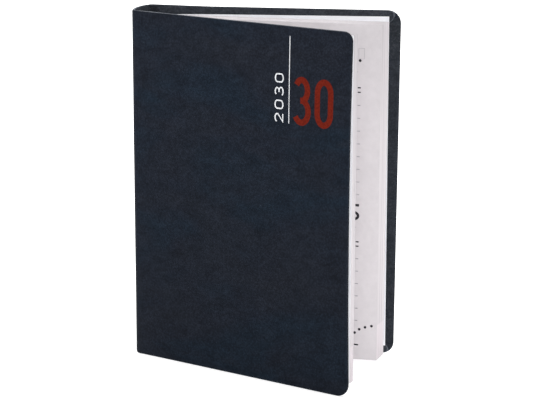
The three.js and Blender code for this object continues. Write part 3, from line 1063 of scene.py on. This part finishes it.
def endBand(name, seat, up):
    points, faces, flat = [], [], []
    along = spread(-band["half"], band["half"], band["threads"] * band["threadSteps"])
    around = spread(0, 2 * math.pi, band["sides"])[:-1]
    first, last = band["x"]
    cx, cz = (first + last) / 2, seat + up * band["bead"] / 2
    for index, y in enumerate(along):
        # Each thread is a ridge, and the bead closes over its last few steps.
        ridge = 1 - band["threadDepth"] * (1 - abs(math.sin(math.pi * index / band["threadSteps"])))
        fromEnd = min(index, len(along) - 1 - index)
        size = ridge * min(1.0, band["endSize"] + fromEnd * band["endStep"])
        for t in around:
            x = cx + (last - first) / 2 * size * rounded(math.cos(t))
            z = cz + band["bead"] / 2 * size * rounded(math.sin(t))
            points.append(inRow(x, y, z))
            flat.append((y * mm, (z - cz) * mm))
    count = len(around)
    for i in range(len(along) - 1):
        for k in range(count):
            n = (k + 1) % count
            quad = (i * count + k, i * count + n, (i + 1) * count + n, (i + 1) * count + k)
            faces.append(quad if up > 0 else quad[::-1])
    faces.append(tuple(range(count))[::-1])
    faces.append(tuple(range((len(along) - 1) * count, len(along) * count)))
    ys = spread(-band["half"], band["half"], 12)
    zs = [seat - up * band["skirtHeight"], seat]
    grids = [[[inRow(x, y, z) for z in zs] for y in ys] for x in band["skirt"]]
    addSlab((points, faces, flat), *grids, [[(y * mm, z * mm) for z in zs] for y in ys])
    rolled = newObject(name + "_rolled", points, faces, flat, bandCotton)
    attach(rolled, "spine")
    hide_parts(name)


endBand("head_band", leafCut["high"] + band["clearance"], 1)
endBand("tail_band", leafCut["low"] - band["clearance"], -1)
print("bands ready")


# CAD nodes that keep their shape.

for node, stock in {
    "spine_card": boardStock, "spine_liner": kraftStock, "mull": gauze,
    "stitch_row_1": cotton, "stitch_row_2": cotton, "stitch_row_3": cotton, "stitch_row_4": cotton,
}.items():
    for each in frame["nodes"][node].material_slots:
        each.material = stock


# Floor, light and camera.

studio = {
    "floorSize": 6.0, "world": 0.4, "floorGlow": 0.55,
    "lamps": {
        "key": {"place": (-1.1, -0.65, 0.3), "size": 0.6, "watts": 2.5},
        "fill": {"place": (1.25, -0.3, 0.35), "size": 0.8, "watts": 6.5},
        "front": {"place": (-0.15, -1.3, 0.12), "size": 0.6, "watts": 3.8},
        "top": {"place": (-0.1, 0.1, 1.3), "size": 0.9, "watts": 10.5},
        "rim": {"place": (-0.35, 0.9, 0.8), "size": 0.8, "watts": 9.0},
    },
}


def paleFloor():
    # White opal table lit from below: bright all round, and it keeps the soft shadow of the book.
    material, tree, output = newMaterial("whiteOpalTable")
    place = addNode(tree, "ShaderNodeTexCoord").outputs["Object"]
    tint = addNode(tree, "ShaderNodeTexNoise", {"Scale": 3.0, "Detail": 2.0}, {"Vector": place})
    tone = addNode(tree, "ShaderNodeValToRGB", {"stops": [(0.3, "#f4f4f4"), (0.7, "#f7f7f7")]},
                   {"Fac": tint.outputs["Fac"]})
    matt = addNode(tree, "ShaderNodeBsdfDiffuse", {}, {"Color": tone.outputs["Color"]})
    glow = addNode(tree, "ShaderNodeEmission", {"Color": (1, 1, 1, 1), "Strength": studio["floorGlow"]})
    both = addNode(tree, "ShaderNodeAddShader", {}, {0: matt.outputs[0], 1: glow.outputs[0]})
    tree.links.new(both.outputs[0], output.inputs["Surface"])
    return material


corners = [(0, 0), (1, 0), (1, 1), (0, 1)]
places = [((x - 0.5) * studio["floorSize"], (y - 0.5) * studio["floorSize"], 0) for x, y in corners]
floor = newObject("floor", places, [(0, 1, 2, 3)], corners, paleFloor())

world = bpy.data.worlds.new("studio")
bpy.context.scene.world = world
world.use_nodes = True
sky = world.node_tree
sky.nodes.clear()
rays = addNode(sky, "ShaderNodeLightPath")
seen = rays.outputs["Is Camera Ray"]
for kind in ("Is Glossy Ray", "Is Transmission Ray"):
    also = addNode(sky, "ShaderNodeMath", {"operation": "MAXIMUM"}, {0: seen, 1: rays.outputs[kind]})
    seen = also.outputs[0]
soft, white = [addNode(sky, "ShaderNodeBackground", {"Color": (1, 1, 1, 1), "Strength": strength})
               for strength in (studio["world"], 1.0)]
skyMix = addNode(sky, "ShaderNodeMixShader", {}, {0: seen, 1: soft.outputs[0], 2: white.outputs[0]})
addNode(sky, "ShaderNodeOutputWorld", {}, {"Surface": skyMix.outputs[0]})

for name, lamp in studio["lamps"].items():
    light = bpy.data.lights.new(name, "AREA")
    light.energy = lamp["watts"]
    light.size = lamp["size"]
    holder = bpy.data.objects.new(name, light)
    holder.location = lamp["place"]
    aim = Vector((0, 0, book["height"] * mm / 2)) - holder.location
    holder.rotation_euler = aim.to_track_quat("-Z", "Y").to_euler()
    bpy.context.collection.objects.link(holder)

# The camera was fitted to the photo: its place is measured from the front corner of the spine.
view = {
    "fromSpine": (155.73, -634.26, 214.76), "heading": -9.832, "pitch": -13.785, "roll": 0.166,
    "focalPixels": 1964.2, "imageWidth": 533,
}
photoCamera = bpy.data.objects.new("camera", bpy.data.cameras.new("camera"))
photoCamera.location = (frontCorner.to_3d() + Vector(view["fromSpine"])) * mm
aimed = Matrix.Identity(4)
for degrees, axis in ((-view["heading"], "Z"), (90 + view["pitch"], "X"), (view["roll"], "Z")):
    aimed = aimed @ Matrix.Rotation(math.radians(degrees), 4, axis)
photoCamera.rotation_euler = aimed.to_euler()
photoCamera.data.sensor_width = 36.0
photoCamera.data.lens = view["focalPixels"] * photoCamera.data.sensor_width / view["imageWidth"]
bpy.context.collection.objects.link(photoCamera)
bpy.context.scene.camera = photoCamera
bpy.context.scene.view_settings.view_transform = "Standard"
print("studio ready")
